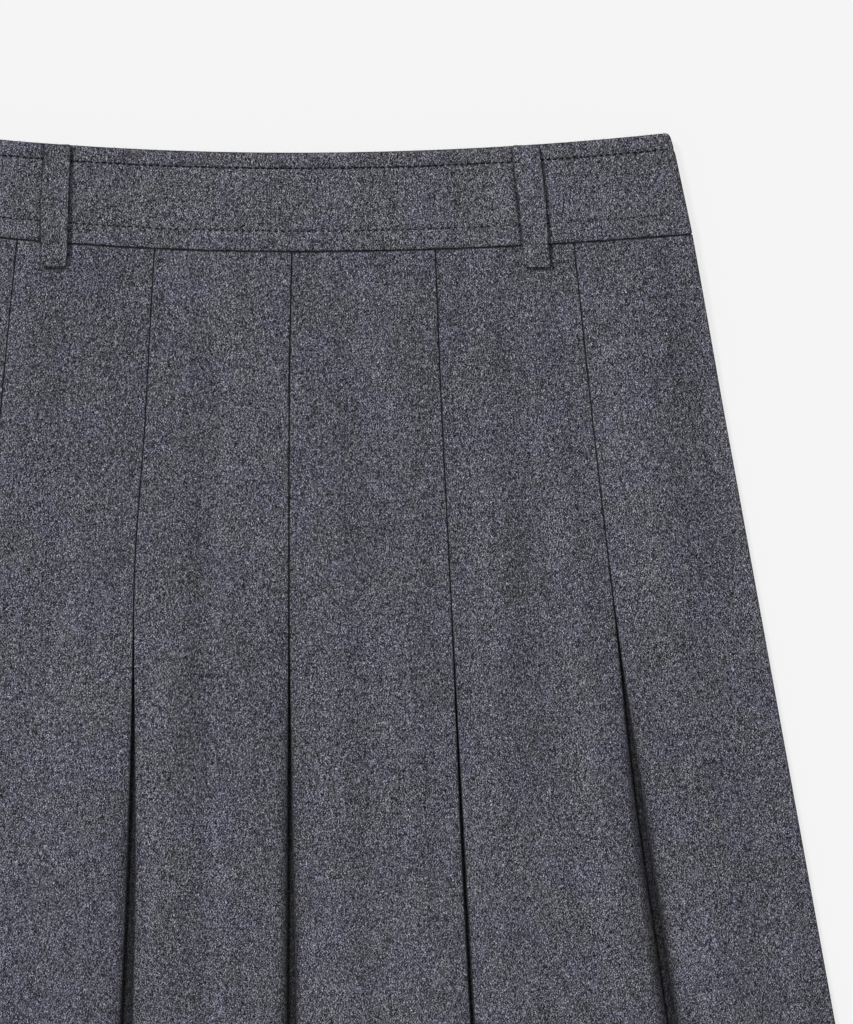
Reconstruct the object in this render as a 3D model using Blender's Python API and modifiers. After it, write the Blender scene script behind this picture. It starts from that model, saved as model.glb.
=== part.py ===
"""Pleated midi skirt laid flat, front up: two pleated panels, a waistband, belt loops and a side zip.

Metres, +Z up. The skirt lies on z = 0 with its waist towards +Y.
"""

import math

import bmesh
import bpy
from mathutils import Matrix, Vector

MM = 0.001

# Waistband and skirt, as they lie flat
BAND_HEIGHT = 46 * MM
BAND_TOP_HALF_WIDTH = 174 * MM
SEAM_HALF_WIDTH = 184 * MM
SKIRT_LENGTH = 735 * MM
SIDE_FLARE = 0.179
HEM_SHORTENING = 0.0156

# How far the waist edge and the waist seam rise from the middle to each end
TOP_RISE = {"left": 10 * MM, "right": 9.2 * MM}
SEAM_RISE = {"left": 12 * MM, "right": 8.3 * MM}

# Cloth
CLOTH = 1.0 * MM
SEAM_GAP = 0.3 * MM
WAIST_SEAM_GAP = 0.7 * MM
LAYER_PITCH = CLOTH + SEAM_GAP
BAND_CLOTH = 2.4 * MM
FOLD_RADIUS = LAYER_PITCH / 2
FOLD_REACH = FOLD_RADIUS + CLOTH / 2
FOLD_STEPS = 3

# Heights of the middle of the cloth over the surface
SIDE_RISE = 3.6 * MM
SIDE_STRAIGHT = 0.25 * MM
SIDE_TURN = (SIDE_RISE - SEAM_GAP) / 2 - SIDE_STRAIGHT
PANEL_LIFT = 2.6 * MM
LIFT_END = 16 * MM
LIFT_FADE = 90 * MM
BAND_BACK_HEIGHT = 3.3 * MM
BAND_FRONT_HEIGHT = BAND_BACK_HEIGHT + SIDE_RISE
BAND_PROUD = 0.5 * MM
PANEL_SAG = 1.7 * MM
SAG_BEGIN = 60 * MM

BAND_COLUMNS = 24

# Belt loops
LOOP_WIDTH = 12.6 * MM
LOOP_THICKNESS = 1.8 * MM
LOOP_DROP = 11 * MM
LOOP_TOP_INSET = 0.6 * MM
LOOP_CORNER = 2.0 * MM
LOOP_BEND = 1.5 * MM

# Each loop's middle at the waist edge, and how far it moves sideways for each metre down
LOOPS = {
    "belt_loop_front_left": {"middle": -108 * MM, "slant": -0.03},
    "belt_loop_front_right": {"middle": 107 * MM, "slant": 0.1},
    "belt_loop_back_left": {"middle": -108 * MM, "slant": -0.06},
    "belt_loop_back_centre": {"middle": 0.0, "slant": 0.0},
    "belt_loop_back_right": {"middle": 108 * MM, "slant": 0.06},
}

# Distance below the waist seam of each row of the pleat table
PLEAT_ROWS = {"seam": 0.0, "release": 160 * MM, "open": 355 * MM, "hem": SKIRT_LENGTH}

# Inverted pleats of the front, from left to right: the middle of each pleat and the gap
# between its two folds, in millimetres, at the rows above
PLEATS = [
    {"seam": -126.0, "release": -143.0, "open": -168.0, "hem": -220.0, "open_gap": 5.2, "hem_gap": 15.0},
    {"seam": -63.5, "release": -73.6, "open": -76.8, "hem": -106.0, "open_gap": 5.2, "hem_gap": 13.0},
    {"seam": 0.0, "release": -1.6, "open": -0.7, "hem": 1.0, "open_gap": 4.2, "hem_gap": 12.0},
    {"seam": 65.5, "release": 73.2, "open": 82.4, "hem": 109.0, "open_gap": 1.6, "hem_gap": 8.0},
    {"seam": 129.3, "release": 146.8, "open": 173.2, "hem": 223.0, "open_gap": 6.2, "hem_gap": 17.0},
]
PLEAT_DEPTH_SEAM = 18 * MM
PLEAT_DEPTH_HEM = 32 * MM

# Rows of the sheet, as distances below the waist seam
SHEET_ROWS = [d * MM for d in (0, 16, 45, 90, 160, 230, 355, 545)] + [SKIRT_LENGTH]
SIDE_EASE_POINTS = 4
SAG_SHARES = (0, 0.25, 0.5, 0.75, 1)

# Zip in the left side seam
ZIP_BELOW_TOP = 9 * MM
ZIP_PLATE = {"width": 4.8 * MM, "above": 4 * MM, "below": 6 * MM, "thickness": 0.8 * MM}
ZIP_LUG = {"thickness": 0.8 * MM, "gap": 3.0 * MM, "half_length": 1.5 * MM, "out": 1.1 * MM}
ZIP_PIN_RADIUS = 0.55 * MM
ROD_SIDES = 28
ZIP_PIN_OUT = 2.9 * MM
PULL_EYE = {"radius": 1.45 * MM, "hole": 0.85 * MM, "width": 2.4 * MM}
PULL_BLADE = {"length": 21 * MM, "thickness": 0.9 * MM, "end_radius": 2.5 * MM, "neck": 1.1 * MM}

TOP_END_RISE = max(TOP_RISE.values())
SEAM_Y = (SKIRT_LENGTH - BAND_HEIGHT - TOP_END_RISE) / 2


def smooth(low, high, value):
    part = min(max((value - low) / (high - low), 0.0), 1.0)
    return part * part * (3 - 2 * part)


def side_of(share):
    return "left" if share < 0 else "right"


def seam_height(share):
    """Height of the waist seam over its middle, at a share (-1 to 1) of the half width."""
    return SEAM_RISE[side_of(share)] * share * share


def top_height(share):
    return BAND_HEIGHT + TOP_RISE[side_of(share)] * share * share


def side_at(below):
    return SEAM_HALF_WIDTH + SIDE_FLARE * below


def plan_y(x, below):
    """Y of the cloth that lies at x on the row that is this far below the seam."""
    share = x / side_at(below)
    return SEAM_Y + seam_height(share) - WAIST_SEAM_GAP / 2 - below * (1 - HEM_SHORTENING * share * share)


def back_level(below):
    """Height of the back panel's cloth, lifted at the top by the belt loops under it."""
    return CLOTH / 2 + PANEL_LIFT * (1 - smooth(LIFT_END, LIFT_FADE, below))


def pleat_depth(below):
    return PLEAT_DEPTH_SEAM + (PLEAT_DEPTH_HEM - PLEAT_DEPTH_SEAM) * below / SKIRT_LENGTH


def table_value(values, below):
    """Straight-line reading of a pleat's values, listed in the order of PLEAT_ROWS."""
    rows = list(PLEAT_ROWS.values())
    for k in range(len(rows) - 1):
        if below <= rows[k + 1]:
            share = (below - rows[k]) / (rows[k + 1] - rows[k])
            return values[k] + (values[k + 1] - values[k]) * share
    return values[-1]


def pleat_at(pleat, below):
    """Middle and half gap of a pleat."""
    middle = table_value([pleat[row] * MM for row in PLEAT_ROWS], below)
    gap = table_value([SEAM_GAP, SEAM_GAP, pleat["open_gap"] * MM, pleat["hem_gap"] * MM], below)
    return middle, gap / 2


def arc(x, z, radius, start, end, steps):
    """Points of an arc in a section, angles in degrees from +X."""
    points = []
    for k in range(steps + 1):
        angle = math.radians(start + (end - start) * k / steps)
        points.append((x + radius * math.cos(angle), z + radius * math.sin(angle)))
    return points


def side_turn(bend, level, side, closing):
    """Quarter turn of the cloth at a side edge, from its level to just short of the seam.

    side is -1 on the left and 1 on the right, closing 1 where the seam is above the level.
    """
    quarter = arc(bend, SIDE_TURN, SIDE_TURN, -90, 0, FOLD_STEPS)
    points = [(x * side, level + z * closing) for x, z in quarter]
    points.append((side * (bend + SIDE_TURN), level + closing * (SIDE_TURN + SIDE_STRAIGHT)))
    return points


def pleat_section(middle, half_gap, depth, panel, layer):
    """An inverted pleat, left to right: fold, return, fold, underlay, fold, return, fold.

    panel is the height of the panel's cloth, and layer the step to the next layer in.
    """
    turn = 1 if layer < 0 else -1
    upper = panel + layer / 2
    lower = panel + layer * 3 / 2
    left, right = middle - half_gap, middle + half_gap
    points = arc(left - FOLD_REACH, upper, FOLD_RADIUS, 90 * turn, -90 * turn, FOLD_STEPS)
    points += arc(left - depth, lower, FOLD_RADIUS, 90 * turn, 270 * turn, FOLD_STEPS)
    points += arc(right + depth, lower, FOLD_RADIUS, -90 * turn, 90 * turn, FOLD_STEPS)
    points += arc(right + FOLD_REACH, upper, FOLD_RADIUS, 270 * turn, 90 * turn, FOLD_STEPS)
    return points


def sagging_panel(left_pleat, right_pleat, below, panel):
    """The single cloth between two pleats, sinking a little where no layers hold it up."""
    reach = pleat_depth(below) + FOLD_REACH
    left, left_gap = pleat_at(left_pleat, below)
    right, right_gap = pleat_at(right_pleat, below)
    start, end = left + left_gap + reach, right - right_gap - reach
    sag = PANEL_SAG * smooth(0, SAG_BEGIN, below)
    points = []
    for share in SAG_SHARES:
        points.append((start + (end - start) * share, panel - sag * math.sin(math.pi * share) ** 2))
    return points


def pleat_zone(pleats, below):
    """Where the outermost underlays end, on the left and on the right."""
    reach = pleat_depth(below) + FOLD_REACH
    first, first_gap = pleat_at(pleats[0], below)
    last, last_gap = pleat_at(pleats[-1], below)
    return first - first_gap - reach, last + last_gap + reach


def side_ease(x, zone, edge):
    """1 over the pleats, falling to 0 at the side edges."""
    if x < zone[0]:
        return 1 - smooth(-zone[0], edge, -x)
    return 1 - smooth(zone[1], edge, x)


def ease_points(start, end):
    return [start + (end - start) * k / (SIDE_EASE_POINTS + 1) for k in range(1, SIDE_EASE_POINTS + 1)]


def front_section(below):
    low = back_level(below)
    panel = low + 5 * LAYER_PITCH
    side = low + SIDE_RISE
    edge = side_at(below)
    zone = pleat_zone(PLEATS, below)
    bend = edge - CLOTH / 2 - SIDE_TURN

    def height(x):
        return side + (panel - side) * side_ease(x, zone, bend)

    points = side_turn(bend, side, -1, -1)[::-1]
    points += [(x, height(x)) for x in ease_points(-bend, zone[0])]
    for k, pleat in enumerate(PLEATS):
        if k:
            points += sagging_panel(PLEATS[k - 1], pleat, below, panel)
        middle, half_gap = pleat_at(pleat, below)
        points += pleat_section(middle, half_gap, pleat_depth(below), panel, -LAYER_PITCH)
    points += [(x, height(x)) for x in ease_points(zone[1], bend)]
    points += side_turn(bend, side, 1, -1)
    return points


def mirrored(pleats):
    rows = []
    for pleat in reversed(pleats):
        row = dict(pleat)
        row.update({name: -pleat[name] for name in PLEAT_ROWS})
        rows.append(row)
    return rows


def back_section(below):
    low = back_level(below)
    bend = side_at(below) - CLOTH / 2 - SIDE_TURN
    points = side_turn(bend, low, -1, 1)[::-1]
    for pleat in mirrored(PLEATS):
        middle, half_gap = pleat_at(pleat, below)
        points += pleat_section(middle, half_gap, pleat_depth(below), low, LAYER_PITCH)
    points += side_turn(bend, low, 1, 1)
    return points


def loft(name, sections, thickness, material, collection):
    """A sheet through sections of equally many points, made solid to both sides."""
    shape = bmesh.new()
    rows = [[shape.verts.new(point) for point in section] for section in sections]
    for upper, lower in zip(rows, rows[1:]):
        for k in range(len(upper) - 1):
            shape.faces.new((upper[k], lower[k], lower[k + 1], upper[k + 1]))
    mesh = bpy.data.meshes.new(name)
    shape.to_mesh(mesh)
    shape.free()
    piece = bpy.data.objects.new(name, mesh)
    collection.objects.link(piece)
    piece.data.materials.append(material)
    solid = piece.modifiers.new("Cloth", "SOLIDIFY")
    solid.thickness = thickness
    solid.offset = 0
    solid.use_even_offset = True
    return piece


def skirt_piece(name, section, material, collection):
    sections = []
    for below in SHEET_ROWS:
        sections.append([(x, plan_y(x, below), z) for x, z in section(below)])
    return loft(name, sections, CLOTH, material, collection)


def band_edge(share_down):
    return BAND_TOP_HALF_WIDTH + (SEAM_HALF_WIDTH - BAND_TOP_HALF_WIDTH) * share_down


def band_y(share, share_down):
    top, bottom = top_height(share), seam_height(share) + WAIST_SEAM_GAP / 2
    return SEAM_Y + top + (bottom - top) * share_down


def band_front_height(x, share_down):
    """Middle of the front band's cloth: it climbs onto the pleats towards the seam."""
    edge = band_edge(share_down)
    zone = pleat_zone(PLEATS, 0.0)
    over_pleats = back_level(0.0) + 5 * LAYER_PITCH + CLOTH / 2 + BAND_PROUD - BAND_CLOTH / 2
    climb = (over_pleats - BAND_FRONT_HEIGHT) * smooth(0, 1, share_down)
    return BAND_FRONT_HEIGHT + climb * side_ease(x, zone, edge)


def band_piece(name, front, material, collection):
    level = BAND_FRONT_HEIGHT if front else BAND_BACK_HEIGHT
    closing = -1 if front else 1
    sections = []
    for share_down in (0, 0.25, 0.5, 0.75, 1):
        bend = band_edge(share_down) - BAND_CLOTH / 2 - SIDE_TURN
        columns = [-bend + 2 * bend * k / BAND_COLUMNS for k in range(1, BAND_COLUMNS)]
        points = side_turn(bend, level, -1, closing)[::-1]
        if front:
            points += [(x, band_front_height(x, share_down)) for x in columns]
        else:
            points += [(x, level) for x in columns]
        points += side_turn(bend, level, 1, closing)
        edge = band_edge(share_down)
        sections.append([(x, band_y(x / edge, share_down), z) for x, z in points])
    return loft(name, sections, BAND_CLOTH, material, collection)


def front_panel_top(x):
    """Height of the front panel's face along the waist seam."""
    bend = SEAM_HALF_WIDTH - CLOTH / 2 - SIDE_TURN
    rise = SIDE_RISE + (5 * LAYER_PITCH - SIDE_RISE) * side_ease(x, pleat_zone(PLEATS, 0.0), bend)
    return back_level(0.0) + rise + CLOTH / 2


def under_loop(x, down):
    """Height of the face that a front belt loop lies on, this far down from the waist edge."""
    if down > BAND_HEIGHT + LOOP_BEND / 2:
        return front_panel_top(x)
    return band_front_height(x, min(down / BAND_HEIGHT, 1.0)) + BAND_CLOTH / 2


def belt_loop(name, middle, slant, material, collection):
    """A flat doubled strip, from the waist edge to just below the seam."""
    length = BAND_HEIGHT + LOOP_DROP
    downs = [LOOP_TOP_INSET, 0.2 * length, 0.4 * length, 0.6 * length, BAND_HEIGHT - LOOP_BEND]
    downs += [BAND_HEIGHT, BAND_HEIGHT + LOOP_BEND, length - LOOP_CORNER, length]
    top = SEAM_Y + top_height(middle / BAND_TOP_HALF_WIDTH)
    sections = []
    for down in downs:
        narrowing = LOOP_CORNER * 0.6 if down in (downs[0], downs[-1]) else 0.0
        half = LOOP_WIDTH / 2 - narrowing
        x = middle + slant * down
        level = LOOP_THICKNESS / 2
        if "front" in name:
            level += under_loop(x, down) + SEAM_GAP
        sections.append([(x + across, top - down, level) for across in (-half, 0, half)])
    return loft(name, sections, LOOP_THICKNESS, material, collection)


def box(name, low, high):
    bpy.ops.mesh.primitive_cube_add(size=1)
    piece = bpy.context.object
    piece.name = name
    centre = (Vector(low) + Vector(high)) / 2
    size = Vector(high) - Vector(low)
    piece.data.transform(Matrix.Translation(centre) @ Matrix.Diagonal((*size, 1)))
    return piece


def rod(name, radius, depth):
    bpy.ops.mesh.primitive_cylinder_add(vertices=ROD_SIDES, radius=radius, depth=depth)
    piece = bpy.context.object
    piece.name = name
    return piece


def combine(piece, other, operation, cutters):
    change = piece.modifiers.new(operation.title(), "BOOLEAN")
    change.operation = operation
    change.object = other
    other.hide_render = True
    other.display_type = "WIRE"
    move_to(other, cutters)


def move_to(piece, collection):
    for owner in piece.users_collection:
        owner.objects.unlink(piece)
    collection.objects.link(piece)


def zip_frame():
    """Empty on the pull tab's axis: its X points out of the left side seam, its Y down the seam."""
    side_height = BAND_HEIGHT + TOP_RISE["left"] - SEAM_RISE["left"]
    lean = math.atan2(SEAM_HALF_WIDTH - BAND_TOP_HALF_WIDTH, side_height)
    top = Vector((-BAND_TOP_HALF_WIDTH, SEAM_Y + top_height(-1), 0))
    seat = top + Vector((-math.sin(lean), -math.cos(lean), 0)) * ZIP_BELOW_TOP
    outward = Vector((-math.cos(lean), math.sin(lean), 0))
    frame = bpy.data.objects.new("zip_axis", None)
    frame.location = seat + outward * ZIP_PIN_OUT
    frame.location.z = (BAND_BACK_HEIGHT + BAND_FRONT_HEIGHT) / 2
    frame.rotation_euler = (0, 0, math.pi - lean)
    return frame


def zip_slider(frame, material, collection, cutters):
    """Plate on the seam, with two lugs that hold the pull tab's pin."""
    half = ZIP_PLATE["width"] / 2
    seat = SEAM_GAP - ZIP_PIN_OUT
    face = seat + ZIP_PLATE["thickness"]
    plate = box("zip_slider", (seat, -ZIP_PLATE["above"], -half), (face, ZIP_PLATE["below"], half))
    inner = ZIP_LUG["gap"] / 2
    outer = inner + ZIP_LUG["thickness"]
    for side, name in ((-1, "zip_lug_low"), (1, "zip_lug_high")):
        reach = sorted((side * inner, side * outer))
        low = (seat + ZIP_PLATE["thickness"] / 2, -ZIP_LUG["half_length"], reach[0])
        high = (ZIP_LUG["out"], ZIP_LUG["half_length"], reach[1])
        combine(plate, box(name, low, high), "UNION", cutters)
    pin = rod("zip_pin", ZIP_PIN_RADIUS, inner + outer)
    combine(plate, pin, "UNION", cutters)
    for piece in (plate, *[m.object for m in plate.modifiers]):
        piece.parent = frame
    plate.data.materials.append(material)
    move_to(plate, collection)
    return plate


def zip_pull(frame, material, collection, cutters):
    """Drop-shaped tab hanging from the pin by an eye."""
    eye = rod("zip_pull", PULL_EYE["radius"], PULL_EYE["width"])
    half = PULL_BLADE["thickness"] / 2
    end = PULL_BLADE["length"] - PULL_BLADE["end_radius"]
    outline = bpy.data.curves.new("zip_pull_outline", "CURVE")
    outline.dimensions = "2D"
    outline.fill_mode = "BOTH"
    outline.extrude = half
    line = outline.splines.new("POLY")
    corners = [(-PULL_BLADE["neck"], 0.0)]
    corners += arc(0, end, PULL_BLADE["end_radius"], 180, 0, 12)
    corners += [(PULL_BLADE["neck"], 0.0)]
    line.points.add(len(corners) - 1)
    for point, (across, along) in zip(line.points, corners):
        point.co = (across, along, 0, 1)
    line.use_cyclic_u = True
    blade = curve_to_mesh("zip_pull_blade", outline)
    blade.data.transform(Matrix.Rotation(math.radians(90), 4, "Y"))
    combine(eye, blade, "UNION", cutters)
    hole = rod("zip_pull_hole", PULL_EYE["hole"], 2 * PULL_EYE["width"])
    combine(eye, hole, "DIFFERENCE", cutters)
    for piece in (eye, *[m.object for m in eye.modifiers]):
        piece.parent = frame
    eye.data.materials.append(material)
    move_to(eye, collection)
    return eye


def curve_to_mesh(name, curve):
    guide = bpy.data.objects.new(name + "_guide", curve)
    bpy.context.collection.objects.link(guide)
    evaluated = guide.evaluated_get(bpy.context.evaluated_depsgraph_get())
    mesh = bpy.data.meshes.new_from_object(evaluated)
    bpy.data.objects.remove(guide)
    shape = bmesh.new()
    shape.from_mesh(mesh)
    bmesh.ops.remove_doubles(shape, verts=shape.verts, dist=0.00001)
    bmesh.ops.recalc_face_normals(shape, faces=shape.faces)
    shape.to_mesh(mesh)
    shape.free()
    piece = bpy.data.objects.new(name, mesh)
    bpy.context.collection.objects.link(piece)
    return piece


def plain_material(name, colour, roughness, metallic):
    material = bpy.data.materials.new(name)
    material.use_nodes = True
    shader = material.node_tree.nodes["Principled BSDF"]
    shader.inputs["Base Color"].default_value = (*colour, 1)
    shader.inputs["Roughness"].default_value = roughness
    shader.inputs["Metallic"].default_value = metallic
    return material


def new_collection(name):
    collection = bpy.data.collections.new(name)
    bpy.context.scene.collection.children.link(collection)
    return collection


def main():
    for old in list(bpy.data.objects):
        bpy.data.objects.remove(old)
    skirt = new_collection("pleated_midi_skirt")
    cutters = new_collection("cutters")
    flannel = plain_material("wool_flannel", (0.09, 0.09, 0.107), 0.95, 0)
    band_flannel = plain_material("waistband_flannel", (0.098, 0.098, 0.112), 0.95, 0)
    loop_flannel = plain_material("belt_loop_flannel", (0.08, 0.08, 0.095), 0.95, 0)
    metal = plain_material("zip_metal", (0.2, 0.2, 0.21), 0.4, 1)

    skirt_piece("skirt_front", front_section, flannel, skirt)
    skirt_piece("skirt_back", back_section, flannel, skirt)
    band_piece("waistband_front", True, band_flannel, skirt)
    band_piece("waistband_back", False, band_flannel, skirt)
    for name, place in LOOPS.items():
        belt_loop(name, place["middle"], place["slant"], loop_flannel, skirt)

    frame = zip_frame()
    skirt.objects.link(frame)
    zip_slider(frame, metal, skirt, cutters)
    zip_pull(frame, metal, skirt, cutters)


main()
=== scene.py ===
import bpy
import bmesh
import math
import random
from mathutils import Matrix, Vector


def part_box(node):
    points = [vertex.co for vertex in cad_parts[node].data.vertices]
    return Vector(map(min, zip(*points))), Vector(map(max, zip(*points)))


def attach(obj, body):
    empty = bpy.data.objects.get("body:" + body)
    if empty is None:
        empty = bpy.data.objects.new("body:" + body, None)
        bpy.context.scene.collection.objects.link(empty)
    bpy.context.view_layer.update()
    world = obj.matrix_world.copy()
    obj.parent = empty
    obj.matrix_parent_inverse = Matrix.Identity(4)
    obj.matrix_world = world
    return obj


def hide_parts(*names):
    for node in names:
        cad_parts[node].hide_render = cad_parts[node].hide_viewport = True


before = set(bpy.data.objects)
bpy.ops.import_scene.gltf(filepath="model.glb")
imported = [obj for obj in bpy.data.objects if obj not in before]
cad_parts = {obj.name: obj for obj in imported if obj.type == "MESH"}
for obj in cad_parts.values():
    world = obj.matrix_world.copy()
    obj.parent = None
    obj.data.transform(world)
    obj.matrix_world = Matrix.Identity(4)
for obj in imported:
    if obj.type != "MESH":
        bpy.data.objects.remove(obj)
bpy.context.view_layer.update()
mm = 0.001
print("frame loaded:", len(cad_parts), "nodes")

# The skirt as it lies, in the same sizes as the frame
laid = dict(
    bandHeight=46 * mm, bandTopHalf=174 * mm, seamHalf=184 * mm, flare=0.179, hemShortening=0.0156,
    topRise=(10 * mm, 9.2 * mm), seamRise=(12 * mm, 8.3 * mm),    # left end, right end
    length=735 * mm,
)
bandHeight = laid["bandHeight"]
cloth = dict(
    thickness=1.0 * mm, pitch=1.3 * mm, sideRise=3.6 * mm, sideStraight=0.25 * mm,
    lift=2.6 * mm, liftFrom=16 * mm, liftTo=90 * mm, foldSteps=8,
    edgeShade=0.4,
)
cloth["foldRadius"] = cloth["pitch"] / 2
cloth["sideTurn"] = (cloth["sideRise"] - 0.3 * mm) / 2 - cloth["sideStraight"]
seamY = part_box("waistband_front")[1].y - max(laid["topRise"]) - bandHeight

# Rows of the pleat table, in millimetres below the waist seam
tableRows = [0, 75, 160, 255, 355, 545, 735]
# Each pleat's middle at those rows, its open width at the last four rows, all in millimetres,
# how hard its folds are pressed, how strongly painted shade falls beside its edges, and how much of its
# fold's painted shade its stitched part keeps
pleatColumns = ("middle", "gap", "sharp", "soft", "line")
frontPleats = [dict(zip(pleatColumns, row)) for row in (
    ([-126.5, -134, -143, -154, -168, -195, -222], [2.4, 5.0, 9, 15], 3.0, 1.0, 0.6),
    ([-63.5, -67.6, -73.1, -73.9, -76.6, -89, -105], [2.5, 5.0, 8, 13], 3.6, 0.8, 0.6),
    ([-0.4, -1.7, -1.8, -1.4, -0.6, 0.4, 1.0], [1.9, 4.1, 7, 12], 3.2, 1.2, 0.95),
    ([65.4, 68.5, 72.7, 77.2, 82.6, 95, 109], [1.1, 1.6, 4, 8], 3.6, 0.3, 0.7),
    ([129.1, 137.1, 146.8, 158.8, 173.4, 198, 223], [3.6, 4.5, 9, 16], 2.4, 1.3, 0.6),
)]
backPleats = [dict(zip(pleatColumns, row)) for row in (
    ([-127, -136, -146, -157, -170, -196, -223], [3.0, 5.5, 10, 16], 2.8),
    ([-64, -67.5, -71.8, -76, -81.5, -94, -108], [1.6, 3.0, 6, 11], 3.4),
    ([0.2, 0.8, 1.2, 0.9, 0.2, -0.6, -1.0], [2.2, 4.4, 8, 12], 3.2),
    ([63.8, 67.0, 71.5, 75.5, 80.5, 92, 106], [2.0, 3.8, 7, 12], 3.4),
    ([126.6, 135, 145, 156, 169.5, 196, 222], [2.8, 5.2, 9, 15], 2.8),
)]
pleatDepth = (18 * mm, 32 * mm)    # at the seam and at the hem
shutGaps = [0.22, 0.22, 0.3]    # open width in the stitched part, in millimetres
openPower = 2.2    # how square an open fold is; 2 is round


def smooth(low, high, value):
    part = min(max((value - low) / (high - low), 0.0), 1.0)
    return part * part * (3 - 2 * part)


def readTable(values, below):
    # a curve through the table's rows, without overshoot between them
    rows = [row * mm for row in tableRows]
    last = len(rows) - 1
    below = max(below, 0.0)
    k = max(n for n in range(last) if rows[n] <= below + 1e-9)

    def slope(n):
        if n in (0, last):
            other = n + 1 if n == 0 else n - 1
            return (values[other] - values[n]) / (rows[other] - rows[n])
        before = (values[n] - values[n - 1]) / (rows[n] - rows[n - 1])
        after = (values[n + 1] - values[n]) / (rows[n + 1] - rows[n])
        return 0.0 if before * after <= 0 else 2 * before * after / (before + after)

    step = rows[k + 1] - rows[k]
    t = min((below - rows[k]) / step, 1.0)
    start, end = values[k], values[k + 1]
    rise = slope(k) * step
    fall = slope(k + 1) * step
    return ((2 * t**3 - 3 * t**2 + 1) * start + (t**3 - 2 * t**2 + t) * rise
            + (3 * t**2 - 2 * t**3) * end + (t**3 - t**2) * fall)


def ends(pair, share):
    return pair[0] if share < 0 else pair[1]


def sideAt(below):
    return laid["seamHalf"] + laid["flare"] * below


def seamHeight(share):
    return ends(laid["seamRise"], share) * share * share


def topHeight(share):
    return bandHeight + ends(laid["topRise"], share) * share * share


def planY(x, below):
    share = x / sideAt(below)
    return seamY + seamHeight(share) - below * (1 - laid["hemShortening"] * share * share)


def backLevel(below):
    return cloth["thickness"] / 2 + cloth["lift"] * (1 - smooth(cloth["liftFrom"], cloth["liftTo"], below))


def pleatAt(pleat, below):
    middle = readTable(pleat["middle"], below) * mm
    gap = readTable(shutGaps + pleat["gap"], below) * mm
    return middle, gap / 2


def depthAt(below):
    return pleatDepth[0] + (pleatDepth[1] - pleatDepth[0]) * below / laid["length"]


def pleatReach(below):
    return depthAt(below) + cloth["foldRadius"] + cloth["thickness"] / 2


def foldPower(pleat, openness):
    return openPower + (pleat["sharp"] + 1.2 - openPower) * (1 - openness)


def easeOut(x, left, right, edge):
    # 1 between left and right, and down to 0 at the edge on either side
    return 1 - (smooth(-left, edge, -x) if x < left else smooth(right, edge, x))


def evenSteps(start, end, count):
    # places between a start and an end, without the two themselves
    return [start + (end - start) * k / (count + 1) for k in range(1, count + 1)]


def addObject(name, data):
    piece = bpy.data.objects.new(name, data)
    bpy.context.scene.collection.objects.link(piece)
    return piece


# A shell is a grid of spots: the face side of the cloth, its wrong side, the panel it is part of,
# and how much painted shade darkens its colour there, from 0 to 1
def flatSpot(x, z, half, part, hollow=0.0):
    # level cloth, face up, or face down with half below zero
    return (x, z + half), (x, z - half), part, hollow


def makeShell(name, rows, grain=None):
    across, down = len(rows[0]), len(rows)
    count = across * down
    spots = [spot for row in rows for spot in row]
    points = [spot[0] for spot in spots] + [spot[1] for spot in spots]
    faces = []
    for j in range(down - 1):
        for i in range(across - 1):
            a, b = j * across + i, j * across + i + 1
            c, d = a + across, b + across
            faces.append((a, c, d, b))
            faces.append((count + a, count + b, count + d, count + c))
    rim = [j * across for j in range(down)]
    rim += [(down - 1) * across + i for i in range(1, across)]
    rim += [j * across + across - 1 for j in range(down - 2, -1, -1)]
    rim += [i for i in range(across - 2, 0, -1)]
    for a, b in zip(rim, rim[1:] + rim[:1]):
        faces.append((a, count + a, count + b, b))
    mesh = bpy.data.meshes.new(name)
    mesh.from_pydata(points, [], faces)
    layWeave(mesh, rows, grain)
    # painted shade: a darkening for each point, which the wool finish multiplies into its colour
    hollow = mesh.attributes.new("hollow", "FLOAT", "POINT")
    hollow.data.foreach_set("value", [spot[3] for spot in spots] * 2)
    work = bmesh.new()
    work.from_mesh(mesh)
    bmesh.ops.recalc_face_normals(work, faces=work.faces)
    work.to_mesh(mesh)
    work.free()
    mesh.shade_smooth()
    return addObject(name, mesh)


def layWeave(mesh, rows, grain):
    # the weave map is the cloth opened out flat: each panel is measured from its own middle
    across, count = len(rows[0]), len(rows[0]) * len(rows)
    parts = [spot[2] for spot in rows[0]]
    middles = {part: parts.index(part) + parts.count(part) // 2 for part in set(parts)}
    opened = []
    for row in rows:
        run = [0.0]
        for (a, *_), (b, *_) in zip(row, row[1:]):
            run.append(run[-1] + max(abs(b[0] - a[0]), abs(b[2] - a[2])))
        opened.append(run)
    weave = mesh.uv_layers.new(name="weave")
    for face in mesh.polygons:
        part = min(parts[corner % count % across] for corner in face.vertices)
        turn = grain[part] if grain else 0.0
        cosine, sine = math.cos(turn), math.sin(turn)
        middle = middles[part]
        for loop in face.loop_indices:
            corner = mesh.loops[loop].vertex_index
            j, i = divmod(corner % count, across)
            x = rows[j][middle][0][0] + opened[j][i] - opened[j][middle]
            y = mesh.vertices[corner].co.y
            weave.data[loop].uv = (x * cosine + y * sine + 0.137 * part,
                                   y * cosine - x * sine + 0.071 * part)


def squareArc(x, z, radius, start, end, steps, power):
    # an arc that is pressed towards a square corner as the power grows over 2
    points = []
    for k in range(steps + 1):
        angle = math.radians(start + (end - start) * k / steps)
        c, s = math.cos(angle), math.sin(angle)
        points.append((x + radius * math.copysign(abs(c) ** (2 / power), c),
                       z + radius * math.copysign(abs(s) ** (2 / power), s)))
    return points


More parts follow.
